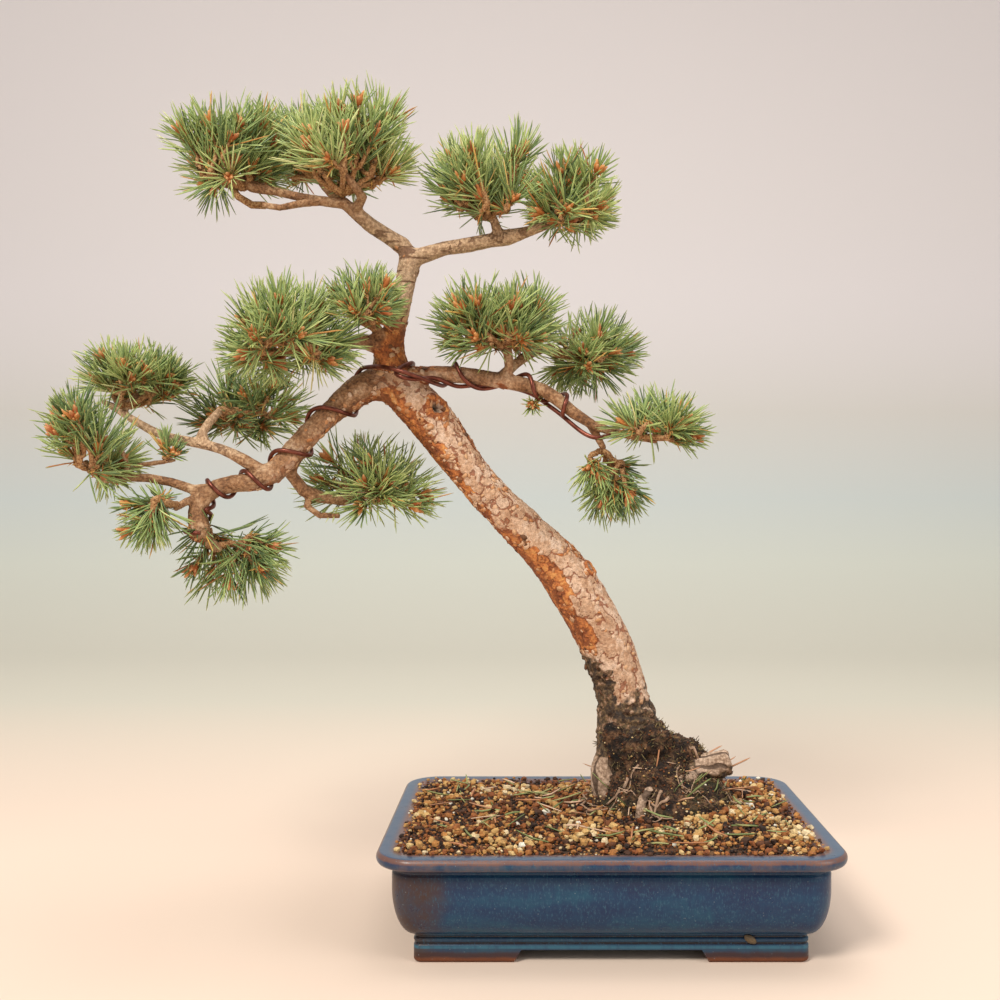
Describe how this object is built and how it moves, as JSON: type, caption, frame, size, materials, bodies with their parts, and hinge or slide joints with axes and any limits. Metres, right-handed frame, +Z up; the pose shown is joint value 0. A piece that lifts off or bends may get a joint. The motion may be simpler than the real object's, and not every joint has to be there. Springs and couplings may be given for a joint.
{
  "type": "bonsai tree in a pot",
  "caption": "Slanting pine bonsai with wired limbs and separate needle pads, its foot in a mound of dark muck, in granular soil in a blue glazed rectangular pot on corner feet.",
  "frame": {"origin": "middle of the whole object's footprint box, at the level of the soles of the pot's feet", "axes": "+Z up; the front of the tree and a long side of the pot face -Y; the trunk leans from its foot on the +X side towards -X"},
  "size_m": [0.5452, 0.228, 0.622],
  "materials": {
    "pot_glaze": "gloss",
    "netting_plastic": "matte",
    "clip_steel": "satin",
    "soil_grit": "matte",
    "mossy_muck": "matte",
    "pine_bark": "matte",
    "wire_aluminium": "satin",
    "pine_needles": "matte"
  },
  "bodies": {
    "root": {"pot": "pot_glaze", "drainage_netting_left": "netting_plastic", "drainage_netting_right": "netting_plastic", "netting_clip_left": "clip_steel", "netting_clip_right": "clip_steel", "soil": "soil_grit", "root_muck": "mossy_muck", "trunk_and_limbs": "pine_bark", "training_wire": "wire_aluminium", "second_training_wire": "wire_aluminium", "crown_left_pad": "pine_needles", "crown_centre_pad": "pine_needles", "crown_back_pad": "pine_needles", "crown_right_pad": "pine_needles", "crown_right_outer_pad": "pine_needles", "leader_pad": "pine_needles", "middle_left_pad": "pine_needles", "upper_left_pad": "pine_needles", "second_left_pad": "pine_needles", "outer_left_pad": "pine_needles", "outer_left_tuft": "pine_needles", "lower_left_tuft": "pine_needles", "drooping_pad": "pine_needles", "under_pad": "pine_needles", "right_pad": "pine_needles", "right_back_pad": "pine_needles", "right_outer_pad": "pine_needles", "hanging_pad": "pine_needles", "tiny_tuft": "pine_needles"}
  },
  "joints": []
}
